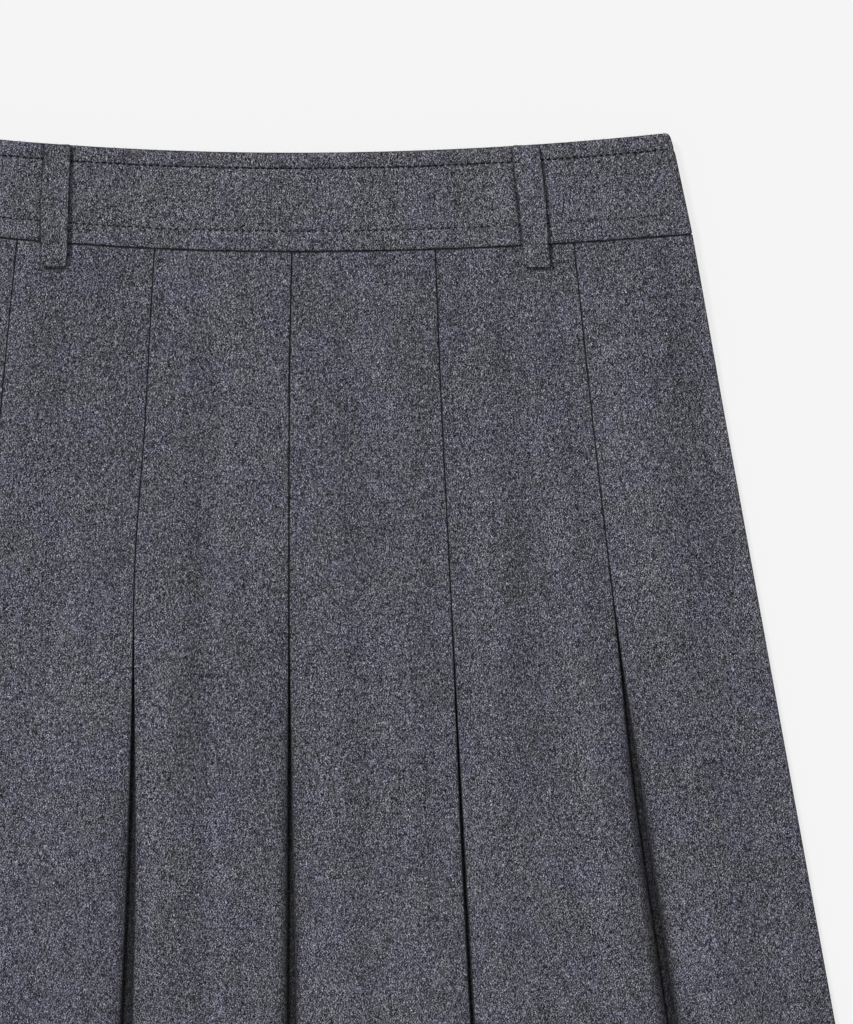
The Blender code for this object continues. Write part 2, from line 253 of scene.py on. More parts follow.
def pleatSpots(middle, halfGap, depth, panel, layer, power, grain):
    # across an inverted pleat: panel fold, return, inner fold, underlay, and out again
    turn = 1 if layer < 0 else -1
    half = cloth["thickness"] / 2
    outer, inner = cloth["foldRadius"] + half, cloth["foldRadius"] - half
    steps = cloth["foldSteps"]
    upper, lower = panel + layer / 2, panel + layer * 3 / 2
    left, right = middle - halfGap, middle + halfGap
    spots = []

    # painted shade: rises as the face turns into a fold, and is full on the returns and the underlay, where
    # shade falls
    def fold(x, z, start, end, faceOut, sharp, part, opening):
        face = squareArc(x, z, outer if faceOut else inner, start * turn, end * turn, steps, sharp)
        wrong = squareArc(x, z, inner if faceOut else outer, start * turn, end * turn, steps, 2)
        for k, (a, b) in enumerate(zip(face, wrong)):
            into = k / steps if opening > 0 else 1 - k / steps
            spots.append((a, b, part, smooth(0.02, 0.42, into) if opening else 1.0))

    def flat(xStart, xEnd, z, faceUp, count, part):
        for x in evenSteps(xStart, xEnd, count):
            spots.append(flatSpot(x, z, half * turn * (1 if faceUp else -1), part, 1.0))

    fold(left - outer, upper, 90, -90, True, power, grain, 1)
    flat(left - outer, left - depth, panel + layer, False, 2, grain + 1)
    fold(left - depth, lower, 90, 270, False, 2, grain + 1, 0)
    flat(left - depth, right + depth, panel + 2 * layer, True, 9, grain + 1)
    fold(right + depth, lower, -90, 90, False, 2, grain + 1, 0)
    flat(right + depth, right + outer, panel + layer, False, 2, grain + 1)
    fold(right + outer, upper, 270, 90, True, power, grain + 2, -1)
    return spots


def sideTurnSpots(bend, level, side, closing, part, thickness):
    # the quarter turn at a side edge, from the level to just short of the side seam
    half = thickness / 2
    spots = []
    for k in range(cloth["foldSteps"] + 1):
        angle = math.radians(90 * k / cloth["foldSteps"])
        c, s = math.cos(angle), math.sin(angle)
        face, wrong = cloth["sideTurn"] + half, cloth["sideTurn"] - half
        z = level + closing * cloth["sideTurn"]
        # painted shade grows round the turn and is darkest on the side edge
        spots.append(((side * (bend + face * s), z - closing * face * c),
                      (side * (bend + wrong * s), z - closing * wrong * c), part, cloth["edgeShade"] * s**4))
    z = level + closing * (cloth["sideTurn"] + cloth["sideStraight"])
    edge = bend + cloth["sideTurn"]
    spots.append(((side * (edge + half), z), (side * (edge - half), z), part, 0.6))
    return spots


# Long soft ridges and troughs in the laid cloth: middle at the seam and at the hem, half width,
# height, and where they begin and end below the seam, all in millimetres
foldColumns = ("top", "hem", "width", "height", "start", "end")
frontFolds = [dict(zip(foldColumns, row)) for row in (
    (-96, -128, 9, 0.5, 20, 420),
    (-47, -62, 8, 0.45, 30, 520),
    (-24, -30, 10, -0.4, 60, 640),
    (17, 33, 8, 0.4, 10, 300),
    (44, 66, 11, 0.5, 120, 700),
    (86, 128, 7, 0.5, 12, 360),
    (108, 176, 9, -0.45, 80, 560),
    (149, 262, 9, 0.55, 25, 600),
    (166, 292, 7, -0.4, 60, 500),
    (-150, -260, 9, 0.5, 40, 640),
    (-112, -172, 9, -0.4, 180, 700),
)]
foldGain = 2.0


def foldHeight(folds, x, below):
    height = 0.0
    share = below / laid["length"]
    for fold in folds:
        middle = (fold["top"] + (fold["hem"] - fold["top"]) * share) * mm
        width = fold["width"] * mm * (1 + 0.6 * share)
        reach = smooth(fold["start"] * mm, (fold["start"] + 90) * mm, below)
        reach *= 1 - smooth((fold["end"] - 140) * mm, fold["end"] * mm, below)
        height += foldGain * fold["height"] * mm * reach * math.exp(-((x - middle) / width) ** 2)
    return height


def slowWave(x, y, seed):
    # a smooth wandering height from -1 to 1, a hand's breadth across
    value = math.sin(x * 41 + 3.1 * math.sin(y * 9 + seed) + seed * 1.7)
    value += 0.6 * math.sin(x * 73 - 2.3 * math.sin(y * 6.5 + 2 * seed) + seed * 0.6)
    return value / 1.6


skirtFront = dict(
    sag=1.7 * mm, sagTo=60 * mm, loft=1.2 * mm, wave=0.25 * mm,
    roll=0.75 * mm, rollWidth=8 * mm, edgeShade=0.16, edgeReach=9 * mm,
    turnShade=0.62, turnReach=1.7 * mm, shadeFrom=200 * mm, hemDepth=38 * mm, hemRidge=0.35 * mm,
    opens=(165 * mm, 300 * mm), sideFade=(16 * mm, 3 * mm), seamFade=40 * mm,
    panelColumns=22, sideColumns=16,
)
skirtBack = dict(opens=(170 * mm, 360 * mm))


def panelEdges(pleats, below):
    edges = []
    for pleat in pleats:
        middle, halfGap = pleatAt(pleat, below)
        edges.append((middle - halfGap, middle + halfGap))
    return edges


def hemHeight(below):
    # the turned-up hem shows as a low step
    return skirtFront["hemRidge"] * smooth(laid["length"] - skirtFront["hemDepth"] - 2 * mm,
                                           laid["length"] - skirtFront["hemDepth"] + 2 * mm, below)


def frontSpots(below):
    low = backLevel(below)
    panel = low + 5 * cloth["pitch"]
    side = low + cloth["sideRise"]
    half = cloth["thickness"] / 2
    bend = sideAt(below) - half - cloth["sideTurn"]
    reach = pleatReach(below)
    edges = panelEdges(frontPleats, below)
    outer = cloth["foldRadius"] + half
    left, right = edges[0][0] - reach, edges[-1][1] + reach
    sagNow = skirtFront["sag"] * smooth(0, skirtFront["sagTo"], below)
    openness = smooth(*skirtFront["opens"], below)

    def easeHeight(x):
        return side + (panel - side) * easeOut(x, left, right, bend)

    def roll(x):
        # the panels roll down a little towards an open pleat
        fall = 0.0
        for (edgeLeft, edgeRight), pleat in zip(edges, frontPleats):
            away = max(edgeLeft - x, x - edgeRight, 0.0)
            fall += math.exp(-(away / skirtFront["rollWidth"]) ** 2) * min(pleat["gap"][1] / 5, 1.1)
        return skirtFront["roll"] * (0.3 + 0.7 * openness) * fall

    def edgeShade(x):
        # painted shade where the cloth turns away from the light before each open pleat
        shade = 0.0
        for (edgeLeft, edgeRight), pleat in zip(edges, frontPleats):
            away = max(edgeLeft - x, x - edgeRight)
            if away < 0:
                continue
            near = skirtFront["turnShade"] * math.exp(-away / skirtFront["turnReach"])
            if x <= edgeLeft:
                near += skirtFront["edgeShade"] * math.exp(-away / skirtFront["edgeReach"])
            shade += near * pleat["soft"] * smooth(skirtFront["shadeFrom"] - 60 * mm * pleat["soft"],
                                                   skirtFront["shadeFrom"] + 90 * mm, below)
        return min(shade, 0.9)

    spots = sideTurnSpots(bend, side, -1, -1, 0, cloth["thickness"])[::-1]
    for x in evenSteps(-bend, edges[0][0] - outer, skirtFront["sideColumns"]):
        spots.append(flatSpot(x, easeHeight(x), half, 0))
    for k, pleat in enumerate(frontPleats):
        middle, halfGap = pleatAt(pleat, below)
        # the stitched part of a pleat keeps only part of its fold's painted shade
        line = pleat["line"] + (1 - pleat["line"]) * openness
        spots += [(a, b, part, hollow * line) for a, b, part, hollow in pleatSpots(
            middle, halfGap, depthAt(below), panel, -cloth["pitch"], foldPower(pleat, openness), 2 * k)]
        if k + 1 < len(frontPleats):
            sagStart, sagEnd = edges[k][1] + reach, edges[k + 1][0] - reach
            for x in evenSteps(edges[k][1] + outer, edges[k + 1][0] - outer, skirtFront["panelColumns"]):
                share = min(max((x - sagStart) / (sagEnd - sagStart), 0), 1)
                spots.append(flatSpot(x, panel - sagNow * math.sin(math.pi * share) ** 2, half, 2 * k + 2))
    for x in evenSteps(edges[-1][1] + outer, bend, skirtFront["sideColumns"]):
        spots.append(flatSpot(x, easeHeight(x), half, 2 * len(frontPleats)))
    spots += sideTurnSpots(bend, side, 1, -1, 2 * len(frontPleats), cloth["thickness"])

    lifted = []
    for face, wrong, part, hollow in spots:
        x = face[0]
        fadeFrom, fadeTo = (sideAt(below) - away for away in skirtFront["sideFade"])
        inside = 1 - smooth(fadeFrom, fadeTo, abs(x))
        rise = skirtFront["loft"] + foldHeight(frontFolds, x, below)
        rise += skirtFront["wave"] * slowWave(x, below, 1.3)
        rise = inside * (rise * smooth(0, skirtFront["seamFade"], below) + hemHeight(below) - roll(x))
        lifted.append(((x, planY(x, below), face[1] + rise),
                       (wrong[0], planY(wrong[0], below), wrong[1] + rise),
                       part, max(hollow * hemLight(below), seamShade(below), edgeShade(x))))
    return lifted


def seamShade(below):
    # painted shade along the waist seam, where it sinks under the band
    return 1 - smooth(0.0, 0.6 * mm, below)


def hemLight(below):
    # how much of a fold's painted shade is left where light reaches in at the hem
    return 1 - 0.75 * smooth(laid["length"] - 7 * mm, laid["length"] - 0.5 * mm, below)


def backSpots(below):
    low = backLevel(below)
    half = cloth["thickness"] / 2
    bend = sideAt(below) - half - cloth["sideTurn"]
    edges = panelEdges(backPleats, below)
    outer = cloth["foldRadius"] + half
    openness = smooth(*skirtBack["opens"], below)
    spots = sideTurnSpots(bend, low, -1, 1, 0, cloth["thickness"])[::-1]
    for x in evenSteps(-bend, edges[0][0] - outer, skirtFront["sideColumns"]):
        spots.append(flatSpot(x, low, -half, 0))
    for k, pleat in enumerate(backPleats):
        middle, halfGap = pleatAt(pleat, below)
        spots += pleatSpots(middle, halfGap, depthAt(below), low, cloth["pitch"],
                            foldPower(pleat, openness), 2 * k)
        last = k + 1 == len(backPleats)
        end = bend if last else edges[k + 1][0] - outer
        columns = skirtFront["sideColumns"] if last else skirtFront["panelColumns"]
        for x in evenSteps(edges[k][1] + outer, end, columns):
            spots.append(flatSpot(x, low, -half, 2 * k + 2))
    spots += sideTurnSpots(bend, low, 1, 1, 2 * len(backPleats), cloth["thickness"])
    return [((a[0], planY(a[0], below), a[1]), (b[0], planY(b[0], below), b[1]), part,
             max(hollow * hemLight(below), seamShade(below))) for a, b, part, hollow in spots]


def skirtRows():
    # close together at the seam, where the pleats open and at the hem, and further apart between
    rows = [-0.15 * mm, 0.15 * mm, 0.5 * mm, 0.95 * mm, 2 * mm]
    while rows[-1] < laid["length"]:
        below = rows[-1]
        step = 2.5 * mm if below < 20 * mm else 6 * mm if below < 360 * mm else 9 * mm
        if below > laid["length"] - 44 * mm:
            step = 4 * mm
        rows.append(below + step)
    rows[-1] = laid["length"]
    return rows


def grainAngles(pleats):
    # the cloth's lengthwise grain runs down the middle of each panel
    lines = [(-laid["seamHalf"], -sideAt(laid["length"]))]
    for pleat in pleats:
        lines.append((pleat["middle"][0] * mm, pleat["middle"][-1] * mm))
    lines.append((laid["seamHalf"], sideAt(laid["length"])))
    angles = []
    for k in range(len(lines) - 1):
        top = (lines[k][0] + lines[k + 1][0]) / 2
        hem = (lines[k][1] + lines[k + 1][1]) / 2
        angles.append(math.atan2(hem - top, laid["length"]))
        if k + 1 < len(lines) - 1:
            angles.append(math.atan2(lines[k + 1][1] - lines[k + 1][0], laid["length"]))
    return angles


waistband = dict(
    thickness=2.4 * mm, backHeight=3.3 * mm, proud=0.5 * mm, seamGap=0.22 * mm, corner=3.2 * mm,
    topRow=7.4 * mm, lowerRow=9.4 * mm, rowDepth=0.42 * mm, rowWidth=0.9 * mm, puff=0.3 * mm,
    rowStep=0.95 * mm, pulls=(1.0, 0.7), dipShades=(1.0, 0.4), wave=0.12 * mm,    # upper row, lower row
)
waistband["frontHeight"] = waistband["backHeight"] + cloth["sideRise"]
stitching = dict(pitch=3.05 * mm, length=2.1 * mm, width=0.66 * mm, sinks=(0.02 * mm, 0.07 * mm),
                 fades=(0.0, 0.14 * mm))
waistband["stitchColumns"] = 4 * round(160 * mm / stitching["pitch"])    # each side of the middle
waistband["endColumns"] = 16
sewnRows = (waistband["topRow"], bandHeight - waistband["lowerRow"])


def bandHalf(share):
    return laid["bandTopHalf"] + (laid["seamHalf"] - laid["bandTopHalf"]) * share


def sideEase(x, edge):
    reach = pleatReach(0)
    edges = panelEdges(frontPleats, 0)
    return easeOut(x, edges[0][0] - reach, edges[-1][1] + reach, edge)


def bandPlace(x, down):
    # how far down the band a point is, from 0 to 1, and its y, for a distance below the waist edge
    share = max(-1.0, min(1.0, x / bandHalf(down / bandHeight)))
    top, bottom = topHeight(share), seamHeight(share) + waistband["seamGap"]
    part = down / bandHeight
    return part, seamY + top + (bottom - top) * part


def rowDips(x, down, strengths, mean, swing, width):
    # dips along both stitched rows, deepest in the middle of each stitch
    depth = mean - swing * math.cos(x * 2 * math.pi / stitching["pitch"])
    return sum(strength * depth * math.exp(-((down - row) / width) ** 2)
               for row, strength in zip(sewnRows, strengths))


def bandRelief(x, down, share):
    # stitched rows draw the band in, and it puffs out between them
    relief = waistband["puff"] * math.sin(math.pi * min(down / waistband["topRow"], 1.0)) ** 2 * 0.8
    between = (down - waistband["topRow"]) / (bandHeight - waistband["lowerRow"] - waistband["topRow"])
    if 0 < between < 1:
        relief += waistband["puff"] * (1 - (2 * between - 1) ** 4)
    lower = (down - bandHeight + waistband["lowerRow"]) / waistband["lowerRow"]
    if 0 < lower < 1:
        relief += waistband["puff"] * math.sin(math.pi * lower) ** 2 * 0.6
    relief -= waistband["rowDepth"] * rowDips(x, down, waistband["pulls"], 1.0, 0.3, waistband["rowWidth"])
    wave = waistband["wave"] * slowWave(x * 1.6, down * 3, 0.4)
    return relief + wave * math.sin(math.pi * min(max(share, 0), 1))


def bandShade(x, down):
    # painted shade in the seam, under the top edge and in the dips of the stitched rows
    shade = 0.9 * smooth(bandHeight - 0.5 * mm, bandHeight - 0.1 * mm, down)
    shade += 0.5 * (1 - smooth(0.1 * mm, 0.9 * mm, down))
    return min(shade + rowDips(x, down, waistband["dipShades"], 0.65, 0.35, 0.55 * mm), 1.0)


def bandFrontHeight(x, share):
    over = backLevel(0) + 5 * cloth["pitch"] + cloth["thickness"] / 2
    over += waistband["proud"] - waistband["thickness"] / 2
    climb = (over - waistband["frontHeight"]) * smooth(0, 1, share)
    return waistband["frontHeight"] + climb * sideEase(x, bandHalf(share))


def bandFace(x, down, front):
    # a point on the outer face of the band
    share, y = bandPlace(x, down)
    half = waistband["thickness"] / 2
    if front:
        return Vector((x, y, bandFrontHeight(x, share) + half + bandRelief(x, down, share)))
    return Vector((x, y, waistband["backHeight"] - half - min(0.0, bandRelief(x, down, share))))


def rimRows(length, radius, step):
    # distances along a piece and how full its thickness is there, so that both its ends are round
    turns = [math.radians(angle) for angle in (14, 32, 50, 70, 90)]
    rim = [(radius * (1 - math.cos(turn)), math.sin(turn)) for turn in turns]
    count = max(2, round((length - 2 * radius) / step))
    level = [(radius + (length - 2 * radius) * k / count, 1.0) for k in range(1, count)]
    return rim + level + [(length - away, full) for away, full in rim[::-1]]


def loopShade(x, down, front):
    # painted shade where a belt loop's left edge meets the band
    shade = 0.0
    for name, place in beltLoops["places"].items():
        if ("front" in name) == front:
            edge = place["middle"] + place["slant"] * down - beltLoops["width"] / 2 - 0.3 * mm
            shade += beltLoops["edgeShade"] * math.exp(-((x - edge) / (0.8 * mm)) ** 2)
    return shade


def bandSpots(down, full, front):
    share = down / bandHeight
    half = waistband["thickness"] / 2 * full
    level = waistband["frontHeight"] if front else waistband["backHeight"]
    pulled = 0.35 * mm * math.exp(-((down - waistband["topRow"]) / (1.3 * mm)) ** 2)
    edge = bandHalf(share) - pulled
    bend = edge - waistband["thickness"] / 2 - cloth["sideTurn"]
    closing = -1 if front else 1
    regular, last = waistband["stitchColumns"], waistband["endColumns"]
    spots = sideTurnSpots(bend, level, -1, closing, 0, 2 * half)[::-1]
    for k in range(1 - regular - last, regular + last):
        x = k * stitching["pitch"] / 4
        if abs(k) > regular:
            reach = regular * stitching["pitch"] / 4
            x = math.copysign(reach + (bend - reach) * (abs(k) - regular) / last, k)
        relief = bandRelief(x, down, share) * full * smooth(0, 8 * mm, bend - abs(x))
        shade = min(bandShade(x, down) + loopShade(x, down, front), 1.0)
        if front:
            z = bandFrontHeight(x, share)
            spots.append(((x, z + half + relief), (x, z - half), 0, shade))
        else:
            spots.append(((x, level - half - min(0.0, relief)), (x, level + half), 0, shade))
    spots += sideTurnSpots(bend, level, 1, closing, 0, 2 * half)
    placed = []
    corner = waistband["corner"]
    for a, b, part, hollow in spots:
        points = []
        for x, z in (a, b):
            over = max(0.0, abs(x) - (edge - corner)) / corner
            drop = corner * (1 - math.sqrt(max(0.0, 1 - min(over, 1.0) ** 2)))
            drop *= 1 - smooth(0, 9 * mm, down)
            points.append((x, bandPlace(x, down)[1] - drop * 0.9, z))
        placed.append((points[0], points[1], part, hollow))
    return placed


beltLoops = dict(
    width=12.6 * mm, thickness=1.8 * mm, drop=11 * mm, topInset=0.4 * mm, corner=2.0 * mm, arch=0.8 * mm,
    gap=0.25 * mm, tilt=0.35 * mm, foldedEnd=0.7 * mm, edgeShade=0.6, step=1.1 * mm,
    places={
        "belt_loop_front_left": dict(middle=-108 * mm, slant=-0.03),
        "belt_loop_front_right": dict(middle=107 * mm, slant=0.1),
        "belt_loop_back_left": dict(middle=-108 * mm, slant=-0.06),
        "belt_loop_back_centre": dict(middle=0.0, slant=0.0),
        "belt_loop_back_right": dict(middle=108 * mm, slant=0.06),
    },
)


def panelTop(x):
    half = cloth["thickness"] / 2
    bend = laid["seamHalf"] - half - cloth["sideTurn"]
    rise = cloth["sideRise"] + (5 * cloth["pitch"] - cloth["sideRise"]) * sideEase(x, bend)
    return backLevel(0) + rise + half


def loopRows(name):
    place = beltLoops["places"][name]
    front = "front" in name
    length = bandHeight + beltLoops["drop"] - beltLoops["topInset"]
    half = beltLoops["thickness"] / 2
    halfWidth = beltLoops["width"] / 2
    rows = []
    across = rimRows(2 * halfWidth, half, beltLoops["step"])
    phase = place["middle"] * 100
    for along, fullAlong in rimRows(length, half, beltLoops["step"]):
        down = along + beltLoops["topInset"]
        middle = place["middle"] + place["slant"] * down
        middle += 0.25 * mm * math.sin(along * 130 + phase)
        top = seamY + topHeight(place["middle"] / laid["bandTopHalf"])
        toEnd = min(along, length - along)
        over = 1 - min(toEnd / beltLoops["corner"], 1)
        narrow = beltLoops["corner"] * (1 - math.sqrt(1 - over ** 2)) * 0.8
        narrow -= 0.25 * mm * math.sin(along * 95 + phase * 3)
        row = []
        for spread, fullAcross in across:
            x = middle + (spread - halfWidth) * (1 - narrow / halfWidth)
            full = min(fullAlong, fullAcross)
            away = (spread - halfWidth) / halfWidth
            # painted shade on the loop's rounded rims, where it turns away from the light and meets the band
            shade = min((1 - full) * 1.5, 1.0)
            z, facing = half, -half * full
            if front:
                seam = smooth(bandHeight - 1 * mm, bandHeight + 4 * mm, down)
                band = bandFrontHeight(middle, min(down / bandHeight, 1))
                band += waistband["thickness"] / 2 + 0.3 * mm
                under = band + (panelTop(middle) - band) * seam
                rise = beltLoops["arch"] * math.sin(math.pi * min(along / length, 1))
                rise *= 1 - 0.25 * away * away
                rise += 0.12 * mm * math.sin(along * 160 + phase) * (1 - away * away)
                rise += beltLoops["foldedEnd"] * smooth(length - 9 * mm, length - 4 * mm, along)
                rise += beltLoops["tilt"] * away * math.sin(math.pi * along / length)
                z, facing = under + beltLoops["gap"] + half + rise, half * full
            row.append(((x, top - down, z + facing), (x, top - down, z - facing), 0, shade))
        rows.append(row)
    return rows


def makePiece(name, rows, body, node, grain=None):
    piece = makeShell(name, rows, grain)
    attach(piece, body)
    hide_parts(node)
    return piece


skirtFrontPiece = makePiece("skirt_front_cloth", [frontSpots(below) for below in skirtRows()],
                            "skirt", "skirt_front", grainAngles(frontPleats))
skirtBackPiece = makePiece("skirt_back_cloth", [backSpots(below) for below in skirtRows()],
                           "skirt", "skirt_back", grainAngles(backPleats))
print("skirt panels made:", len(skirtFrontPiece.data.polygons), len(skirtBackPiece.data.polygons))

bandRim = waistband["thickness"] / 2
bandRows = rimRows(bandHeight, bandRim, waistband["rowStep"])
for row in sewnRows:
    bandRows = [spot for spot in bandRows if abs(spot[0] - row) > 1.9 * mm]
    bandRows += [(row + away * mm, 1.0) for away in (-1.5, -1.0, -0.65, -0.3, 0, 0.3, 0.65, 1.0, 1.5)]
bandRows.sort()
bandPieces = []
for side in ("front", "back"):
    rows = [bandSpots(down, full, side == "front") for down, full in bandRows]
    bandPieces.append(makePiece("waistband_" + side + "_cloth", rows, "skirt", "waistband_" + side))
loopPieces = [makePiece(name + "_cloth", loopRows(name), "skirt", name)
              for name in beltLoops["places"]]
print("waistband and belt loops made")


def selectOnly(piece):
    if bpy.context.object and bpy.context.object.mode != "OBJECT":
        bpy.ops.object.mode_set(mode="OBJECT")
    bpy.ops.object.select_all(action="DESELECT")
    piece.select_set(True)
    bpy.context.view_layer.objects.active = piece


def makeStitch():
    # one stitch: a short thread with rounded ends that dips into the cloth
    bpy.ops.object.select_all(action="DESELECT")
    bpy.ops.mesh.primitive_uv_sphere_add(segments=6, ring_count=7, radius=stitching["width"] / 2)
    stitch = bpy.context.object
    for vertex in stitch.data.vertices:
        along = vertex.co.z / (stitching["width"] / 2)
        vertex.co = (math.copysign(abs(along) ** 0.6, along) * stitching["length"] / 2, vertex.co.y,
                     vertex.co.x * 0.7 - 0.12 * mm * along * along)
    return stitch


def turnedTo(direction, up, place, size=1.0):
    # a matrix that lays a shape's own X along a direction, at a place
    run = direction.normalized()
    side = up.cross(run).normalized()
    axes = Matrix((run, side, run.cross(side))).transposed().to_4x4()
    return Matrix.Translation(place) @ axes @ Matrix.Diagonal((size, size, size, 1))


def copyShape(shape, places, name):
    # one piece made of a copy of the shape at every place
    corners = [vertex.co.copy() for vertex in shape.data.vertices]
    faces = [tuple(face.vertices) for face in shape.data.polygons]
    points, copies = [], []
    for place in places:
        copies += [[corner + len(points) for corner in face] for face in faces]
        points += [place @ corner for corner in corners]
    mesh = bpy.data.meshes.new(name)
    mesh.from_pydata(points, [], copies)
    mesh.shade_smooth()
    piece = addObject(name, mesh)
    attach(piece, "skirt")
    return piece


stitch = makeStitch()
random.seed(11)
up = Vector((0, 0, 1))
seamPieces = []
for side in ("front", "back"):
    front = side == "front"
    places = []
    for down, sink, fade in zip(sewnRows, stitching["sinks"], stitching["fades"]):
        count = int((bandHalf(down / bandHeight) - 3.2 * mm) / stitching["pitch"])
        for k in range(-count, count):
            start = (k + 0.5 + random.uniform(-0.07, 0.07)) * stitching["pitch"] - stitching["length"] / 2
            sway = random.uniform(-0.24, 0.24) * mm
            begin = bandFace(start, down + sway, front)
            end = bandFace(start + stitching["length"], down + sway * 0.4, front)
            outward = up if front else -up
            deep = (sink + fade * smooth(60 * mm, 110 * mm, start)) * random.uniform(0.6, 1.4)
            places.append(turnedTo(end - begin, outward, (begin + end) / 2 - outward * deep))
    seamPieces.append(copyShape(stitch, places, "waistband_" + side + "_stitching"))
bpy.data.objects.remove(stitch)
print("stitching made")

fuzz = dict(
    radius=0.04 * mm, step=0.33 * mm, edge=1100, side=450, face=1500, lint=70, lintSize=1.6,
    # pale bits of fibre caught in the cloth: across from the middle and below the waist seam
    bits=[(-71, 67), (13, 134), (-24, 212), (92, 265), (60, 140), (-55, 40), (150, 92), (44, 318),
          (95, 330)],
    fleck=(194.6, 272), fleckSize=3.2,
)


def makeHair():
    # one loose wool fibre, thinner and more bent towards its tip
    bpy.ops.object.select_all(action="DESELECT")
    bpy.ops.mesh.primitive_circle_add(vertices=3, radius=fuzz["radius"], fill_type="NGON",
                                      rotation=(0, math.pi / 2, 0))
    bpy.ops.object.transform_apply(location=True, rotation=True, scale=True)
    bpy.ops.object.mode_set(mode="EDIT")
    bpy.ops.mesh.select_all(action="SELECT")
    for lift in (0.05, 0.3, 0.7):
        bpy.ops.mesh.extrude_region_move(
            TRANSFORM_OT_translate={"value": (fuzz["step"], 0, fuzz["step"] * lift)})
        bpy.ops.transform.resize(value=(0.8, 0.8, 0.8))
    bpy.ops.object.mode_set(mode="OBJECT")
    return bpy.context.object


def anyTurn(direction, spread):
    turned = direction + Vector([random.uniform(-spread, spread) for _ in range(3)])
    return turned.normalized()


def onCloth(piece, x, y, fromAbove=True):
    # where a vertical line meets the outer face of a piece
    sign = 1 if fromAbove else -1
    hit, place, normal, _ = piece.ray_cast((x, y, sign * 0.1), (0, 0, -sign))
    return (place, normal) if hit else (None, None)


hair = makeHair()
places = []
for k in range(fuzz["edge"]):
    x = random.uniform(-1, 1) * (laid["bandTopHalf"] - 1 * mm)
    place = bandFace(x, 0.5 * mm, k % 2 == 0)
    place.z += (-0.8 if k % 2 == 0 else 0.8) * mm
    places.append(turnedTo(anyTurn(Vector((0, 1, 0.2)), 0.8), up, place, random.uniform(0.5, 1.3)))
for k in range(fuzz["side"]):
    below = random.uniform(0, laid["length"])
    side = 1 if k % 2 == 0 else -1
    place = Vector((side * (sideAt(below) - 0.1 * mm), planY(side * sideAt(below), below),
                    backLevel(below) + random.uniform(1.0, 3.0) * mm))
    places.append(turnedTo(anyTurn(Vector((side, 0, 0.1)), 0.8), up, place, random.uniform(0.5, 1.2)))
for k in range(fuzz["face"]):
    below = laid["length"] * random.random()
    x = random.uniform(-1, 1) * (sideAt(below) - 4 * mm)
    place, normal = onCloth(skirtFrontPiece, x, planY(x, below))
    if place and normal.z > 0.8:
        places.append(turnedTo(anyTurn(Vector((0, 0, 0.25)), 1), up, place, random.uniform(0.6, 1.4)))
fuzzPiece = copyShape(hair, places, "skirt_wool_fuzz")

places = []
spots = [(x * mm, below * mm) for x, below in fuzz["bits"]]
while len(spots) < fuzz["lint"]:
    below = random.uniform(6 * mm, laid["length"] - 6 * mm)
    spots.append((random.uniform(-1, 1) * (sideAt(below) - 6 * mm), below))
for x, below in spots:
    place, normal = onCloth(skirtFrontPiece, x, planY(x, below))
    if place and normal.z > 0.8:
        flat = anyTurn(Vector((0, 0, 0)), 1)
        flat.z = 0.05
        size = fuzz["lintSize"] * random.uniform(0.7, 1.4)
        places.append(turnedTo(flat, up, place + normal * 0.05 * mm, size))
lintPiece = copyShape(hair, places, "skirt_pale_fibres")
x, below = (value * mm for value in fuzz["fleck"])
place, normal = onCloth(skirtFrontPiece, x, planY(x, below))
place += normal * 0.08 * mm
places = [turnedTo(Vector((math.cos(turn), math.sin(turn), 0.1)), up, place, fuzz["fleckSize"])
          for turn in (1.9, 2.6, -0.9)]
fleckPiece = copyShape(hair, places, "skirt_straw_fleck")
bpy.data.objects.remove(hair)
print("loose fibres made:", len(fuzzPiece.data.polygons))

zipper = dict(
    bevel=0.12 * mm, start=-28 * mm, end=190 * mm, level=1.8 * mm,
    pitch=1.3 * mm, tooth=(0.75 * mm, 1.0 * mm, 1.0 * mm), toothBevel=0.2 * mm, toothInset=1.75 * mm,
    tapeWidth=12 * mm, tapeThickness=0.4 * mm, tapeInset=2.3 * mm, tapeStep=4 * mm, tapeSpare=6 * mm,
    softAngle=math.radians(35),
)


def soften(piece, width):
    # round the edges of the active piece
    bevel = piece.modifiers.new("soften", "BEVEL")
    bevel.width, bevel.segments, bevel.limit_method = width, 2, "ANGLE"
    bevel.angle_limit = zipper["softAngle"]
    bpy.ops.object.modifier_apply(modifier="soften")


def refineNode(node, name, body):
    # the same part with its edges softened
    piece = addObject(name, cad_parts[node].data.copy())
    selectOnly(piece)
    bpy.ops.object.mode_set(mode="EDIT")
    bpy.ops.mesh.select_all(action="SELECT")
    bpy.ops.mesh.remove_doubles(threshold=0.002 * mm)
    bpy.ops.mesh.dissolve_limited(angle_limit=math.radians(3))
    bpy.ops.mesh.normals_make_consistent(inside=False)
    bpy.ops.object.mode_set(mode="OBJECT")
    soften(piece, zipper["bevel"])
    bpy.ops.object.shade_smooth_by_angle(angle=zipper["softAngle"])
    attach(piece, body)
    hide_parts(node)
    return piece


def zipLine(below, inset):
    # a point behind the left side seam, so far in from the outer face
    if below < 0:
        edge = bandHalf(1 + below / bandHeight) - waistband["thickness"] + cloth["thickness"]
    else:
        edge = sideAt(below)
    level = backLevel(max(below, 0.0)) + zipper["level"]
    level += (waistband["backHeight"] + zipper["level"] - level) * (1 - smooth(-6 * mm, 0.0, below))
    return Vector((inset - edge, planY(-sideAt(below), below), level))


def makeZipTape():
    # the woven tape that the teeth are sewn to
    rows = []
    count = round((zipper["end"] + zipper["tapeSpare"] - zipper["start"]) / zipper["tapeStep"])
    rise = Vector((0, 0, zipper["tapeThickness"] / 2))
    for k in range(count + 1):
        below = zipper["start"] + k * zipper["tapeStep"]
        inner = [zipLine(below, zipper["tapeInset"] + zipper["tapeWidth"] * part / 4) for part in range(5)]
        rows.append([(tuple(spot + rise), tuple(spot - rise), 0, 0.5) for spot in inner])
    tape = makeShell("zip_tape", rows)
    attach(tape, "skirt")
    return tape


